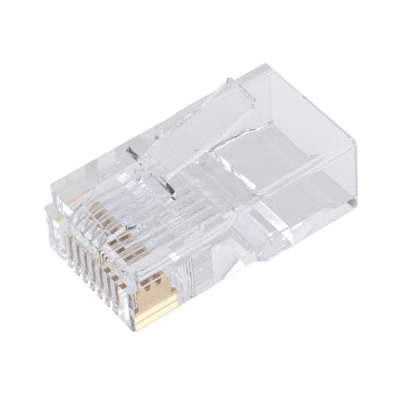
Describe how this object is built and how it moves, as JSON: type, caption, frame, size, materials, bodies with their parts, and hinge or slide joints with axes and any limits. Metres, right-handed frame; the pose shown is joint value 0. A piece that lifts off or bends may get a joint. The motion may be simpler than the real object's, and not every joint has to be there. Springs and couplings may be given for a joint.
{
  "type": "rj45 modular plug",
  "caption": "Clear moulded modular plug with a sprung latch, gold-plated blade contacts in slots, a wire clamp, a jacket clamp and a rectangular cable mouth.",
  "frame": {"origin": "front face of the nose, on the plug's middle plane, at the height of the surface that the rear block stands on", "axes": "+X from the mating nose to the cable mouth, +Y across the width, +Z towards the latch"},
  "size_m": [0.0216, 0.0118, 0.0129],
  "materials": {
    "clear_housing": "clear moulded polycarbonate",
    "clear_latch": "clear moulded polycarbonate",
    "clear_clamp": "clear moulded polycarbonate",
    "gold_contact": "gold plating on copper alloy"
  },
  "bodies": {
    "moulding": {"housing": "clear_housing"},
    "latch": {"latch": "clear_latch"},
    "wire_clamp": {"wire_clamp": "clear_clamp"},
    "jacket_clamp": {"jacket_clamp": "clear_clamp"},
    "contacts": {"contact_1": "gold_contact", "contact_2": "gold_contact", "contact_3": "gold_contact", "contact_4": "gold_contact", "contact_5": "gold_contact", "contact_6": "gold_contact", "contact_7": "gold_contact", "contact_8": "gold_contact"}
  },
  "joints": [
    {"name": "latch_press", "type": "hinge", "parent": "moulding", "child": "latch", "pos_m": [0.00125, 0, 0.00743], "axis": [0, 1, 0], "range_deg": [0, 15], "stiffness_Nm_per_rad": 0.25},
    {"name": "contact_crimp", "type": "slide", "parent": "moulding", "child": "contacts", "axis": [0, 0, 1], "range_m": [0, 0.00055]},
    {"name": "wire_clamp_crimp", "type": "slide", "parent": "moulding", "child": "wire_clamp", "axis": [0, 0, 1], "range_m": [0, 0.0008]},
    {"name": "jacket_clamp_crimp", "type": "hinge", "parent": "moulding", "child": "jacket_clamp", "pos_m": [0.01233, 0, 0.00085], "axis": [0, -1, 0], "range_deg": [0, 25]}
  ]
}
